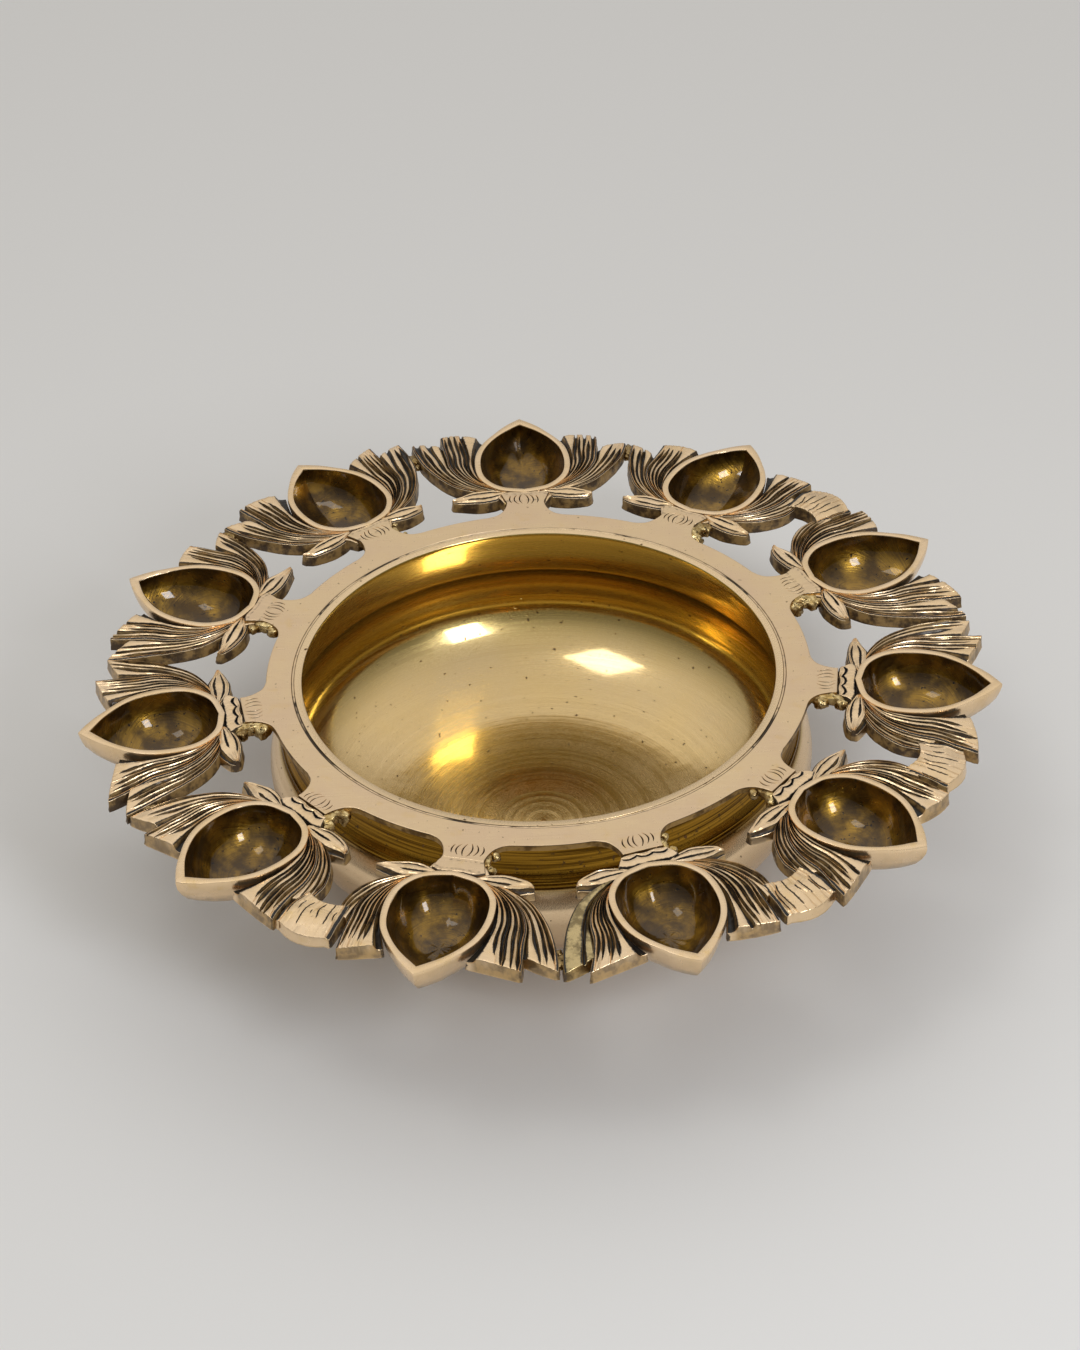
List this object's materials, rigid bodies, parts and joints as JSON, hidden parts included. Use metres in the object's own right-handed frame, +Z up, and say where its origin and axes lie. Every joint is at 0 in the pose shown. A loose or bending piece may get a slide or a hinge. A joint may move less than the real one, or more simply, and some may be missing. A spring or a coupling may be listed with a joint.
{
  "type": "urli bowl",
  "caption": "Wide brass bowl with a flared neck, a flat base and a flat collar that carries a ring of lotus-shaped oil lamp cups joined at their petals.",
  "frame": {"origin": "centre of the bowl's flat underside, on the bowl's axis", "axes": "+Z up along the bowl's axis, +Y out along lamp 1, +X to the right when lamp 1 is at the far side; lamps are numbered clockwise from above"},
  "size_m": [0.4002, 0.3987, 0.092],
  "materials": {
    "bowl_brass": "turned and polished inside, satin outside",
    "collar_brass": "filed flat, satin with fine scratches",
    "lotus_brass": "sand cast, filed on top, black patina in the grooves and brown in the cups",
    "braze_filler": "bright lumpy braze, left as it set"
  },
  "bodies": {
    "root": {"bowl": "bowl_brass", "collar_ring": "collar_brass", "rim_braze": "braze_filler", "lotus_01": "lotus_brass", "lotus_02": "lotus_brass", "lotus_03": "lotus_brass", "lotus_04": "lotus_brass", "lotus_05": "lotus_brass", "lotus_06": "lotus_brass", "lotus_07": "lotus_brass", "lotus_08": "lotus_brass", "lotus_09": "lotus_brass", "lotus_10": "lotus_brass", "lotus_11": "lotus_brass", "bridge_plate_02_03": "lotus_brass", "bridge_plate_04_05": "lotus_brass", "bridge_plate_05_06": "lotus_brass", "bridge_plate_07_08": "lotus_brass", "petal_braze_01_02": "braze_filler", "petal_braze_03_04": "braze_filler", "petal_braze_06_07": "braze_filler", "petal_braze_08_09": "braze_filler", "petal_braze_09_10": "braze_filler", "petal_braze_10_11": "braze_filler", "petal_braze_11_01": "braze_filler", "lug_braze_01": "braze_filler", "lug_braze_02": "braze_filler", "lug_braze_03": "braze_filler", "lug_braze_04": "braze_filler", "lug_braze_05": "braze_filler", "lug_braze_06": "braze_filler", "lug_braze_07": "braze_filler", "lug_braze_08": "braze_filler", "lug_braze_09": "braze_filler", "lug_braze_10": "braze_filler", "lug_braze_11": "braze_filler"}
  },
  "joints": []
}
